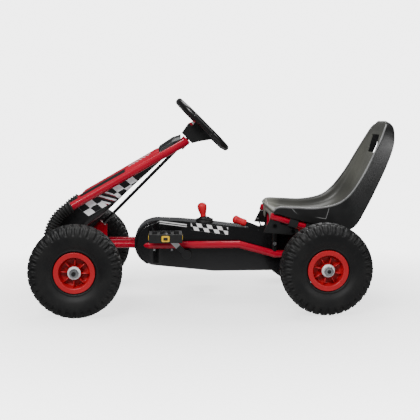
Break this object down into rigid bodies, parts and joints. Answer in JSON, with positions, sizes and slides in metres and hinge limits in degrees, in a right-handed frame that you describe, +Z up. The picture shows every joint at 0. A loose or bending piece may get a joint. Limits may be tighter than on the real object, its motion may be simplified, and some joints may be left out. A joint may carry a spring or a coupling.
{
  "type": "pedal go kart",
  "caption": "Child's pedal go kart: tube frame, knuckle steering, chain drive to the rear axle, hand brake and a sliding moulded seat.",
  "frame": {"origin": "middle of the object's footprint on the ground", "axes": "+X forward, +Y to the driver's left, +Z up"},
  "size_m": [1.062, 0.598, 0.609],
  "materials": {
    "frame_red": "gloss powder coat, deep red",
    "rim_red": "moulded orange-red plastic",
    "grip_red": "smooth bright red rubber",
    "tyre_black": "block tread, satin walls",
    "case_black": "gloss black moulded plastic with a white chequer band",
    "panel_red": "gloss red moulded plastic",
    "fairing_black": "black moulded plastic with white chequers",
    "sleeve_black": "ribbed rubber sleeve",
    "seat_black": "fine-grained black moulded plastic with a grey sheen",
    "wheel_black": "soft-touch black plastic",
    "steel_black": "black enamel",
    "steel_bright": "zinc-plated steel",
    "chrome_bright": "polished chrome",
    "cap_white": "silver-white moulded plastic",
    "bush_white": "natural nylon",
    "pedal_black": "black moulded plastic with yellow reflectors"
  },
  "bodies": {
    "chassis": {"main_frame": "frame_red", "column_frame": "frame_red", "bumper_sleeve_left": "sleeve_black", "bumper_sleeve_right": "sleeve_black", "hood_panel": "panel_red", "nose_fairing": "fairing_black", "column_cap": "fairing_black", "steering_bushes": "bush_white", "chain_case_left": "case_black", "chain_case_right": "case_black", "crank_bearings": "steel_bright", "axle_bearings": "steel_bright", "seat_frame": "frame_red", "seat_brackets": "steel_black", "gear_gate": "case_black", "chain": "steel_bright", "king_pins": "steel_bright", "frame_bolts": "steel_bright"},
    "steering": {"steering_wheel": "wheel_black", "steering_hub": "wheel_black", "steering_shaft": "steel_black"},
    "knuckle_left": {"knuckle_left": "steel_black", "front_nut_left": "chrome_bright"},
    "knuckle_right": {"knuckle_right": "steel_black", "front_nut_right": "chrome_bright"},
    "tie_rod_left": {"tie_rod_left": "steel_bright"},
    "tie_rod_right": {"tie_rod_right": "steel_bright"},
    "front_wheel_left": {"front_tyre_left": "tyre_black", "front_rim_left": "rim_red", "front_bearings_left": "steel_bright", "front_hub_cap_left": "cap_white"},
    "front_wheel_right": {"front_tyre_right": "tyre_black", "front_rim_right": "rim_red", "front_bearings_right": "steel_bright", "front_hub_cap_right": "cap_white"},
    "rear_axle": {"rear_axle": "steel_bright", "rear_tyre_left": "tyre_black", "rear_tyre_right": "tyre_black", "rear_rim_left": "rim_red", "rear_rim_right": "rim_red", "rear_hub_caps": "cap_white", "rear_nuts": "chrome_bright", "rear_sprocket": "steel_bright", "brake_drum": "steel_bright"},
    "crank": {"crank": "steel_bright", "chainring": "steel_bright"},
    "pedal_left": {"pedal_left": "pedal_black"},
    "pedal_right": {"pedal_right": "pedal_black"},
    "gear_lever": {"gear_lever": "steel_black", "gear_grip": "grip_red"},
    "handbrake": {"handbrake_lever": "steel_black", "handbrake_grip": "grip_red"},
    "brake_band": {"brake_band": "steel_bright"},
    "brake_pawl": {"brake_pawl": "steel_black"},
    "seat": {"seat_shell": "seat_black", "seat_clamps": "wheel_black"}
  },
  "joints": [
    {"name": "steering_turn", "type": "hinge", "parent": "chassis", "child": "steering", "pos_m": [0.041, 0, 0.532], "axis": [-0.7071, 0, 0.7071], "range_deg": [-30, 30]},
    {"name": "knuckle_left_turn", "type": "hinge", "parent": "chassis", "child": "knuckle_left", "pos_m": [0.402, 0.185, 0.13], "axis": [0, 0, 1], "range_deg": [-23, 23]},
    {"name": "knuckle_right_turn", "type": "hinge", "parent": "chassis", "child": "knuckle_right", "pos_m": [0.402, -0.185, 0.13], "axis": [0, 0, 1], "range_deg": [-23, 23]},
    {"name": "tie_rod_left_turn", "type": "hinge", "parent": "knuckle_left", "child": "tie_rod_left", "pos_m": [0.337, 0.185, 0.145], "axis": [0, 0, 1], "range_deg": [-23, 23]},
    {"name": "tie_rod_right_turn", "type": "hinge", "parent": "knuckle_right", "child": "tie_rod_right", "pos_m": [0.337, -0.185, 0.145], "axis": [0, 0, 1], "range_deg": [-23, 23]},
    {"name": "front_wheel_left_spin", "type": "hinge", "parent": "knuckle_left", "child": "front_wheel_left", "pos_m": [0.402, 0.25, 0.13], "axis": [0, 1, 0], "continuous": true},
    {"name": "front_wheel_right_spin", "type": "hinge", "parent": "knuckle_right", "child": "front_wheel_right", "pos_m": [0.402, -0.25, 0.13], "axis": [0, 1, 0], "continuous": true},
    {"name": "rear_axle_spin", "type": "hinge", "parent": "chassis", "child": "rear_axle", "pos_m": [-0.298, 0, 0.13], "axis": [0, 1, 0], "continuous": true},
    {"name": "crank_spin", "type": "hinge", "parent": "chassis", "child": "crank", "pos_m": [0.09, 0, 0.145], "axis": [0, 1, 0], "continuous": true},
    {"name": "pedal_left_spin", "type": "hinge", "parent": "crank", "child": "pedal_left", "pos_m": [0.15223, 0.14, 0.20723], "axis": [0, 1, 0], "continuous": true},
    {"name": "pedal_right_spin", "type": "hinge", "parent": "crank", "child": "pedal_right", "pos_m": [0.02777, -0.14, 0.08277], "axis": [0, 1, 0], "continuous": true},
    {"name": "gear_shift", "type": "hinge", "parent": "chassis", "child": "gear_lever", "pos_m": [0.03, 0, 0.215], "axis": [0, 1, 0], "range_deg": [-12, 12]},
    {"name": "handbrake_pull", "type": "hinge", "parent": "chassis", "child": "handbrake", "pos_m": [-0.165, 0.025, 0.203], "axis": [0, -1, 0], "range_deg": [0, 32]},
    {"name": "brake_band_pull", "type": "slide", "parent": "chassis", "child": "brake_band", "axis": [1, 0, 0], "range_m": [0, 0.00782]},
    {"name": "brake_pawl_flip", "type": "hinge", "parent": "chassis", "child": "brake_pawl", "pos_m": [-0.141, 0.0385, 0.222], "axis": [0, 1, 0], "range_deg": [-12, 12]},
    {"name": "seat_slide", "type": "slide", "parent": "chassis", "child": "seat", "axis": [0.9613, 0, 0.2756], "range_m": [0, 0.02]}
  ],
  "couplings": [
    {"joint": "knuckle_left_turn", "follows": "steering_turn", "ratio": 0.76},
    {"joint": "knuckle_right_turn", "follows": "steering_turn", "ratio": 0.76},
    {"joint": "tie_rod_left_turn", "follows": "steering_turn", "ratio": -0.76},
    {"joint": "tie_rod_right_turn", "follows": "steering_turn", "ratio": -0.76},
    {"joint": "crank_spin", "follows": "rear_axle_spin", "ratio": 0.77778},
    {"joint": "brake_band_pull", "follows": "handbrake_pull", "m_per_rad": 0.014}
  ]
}
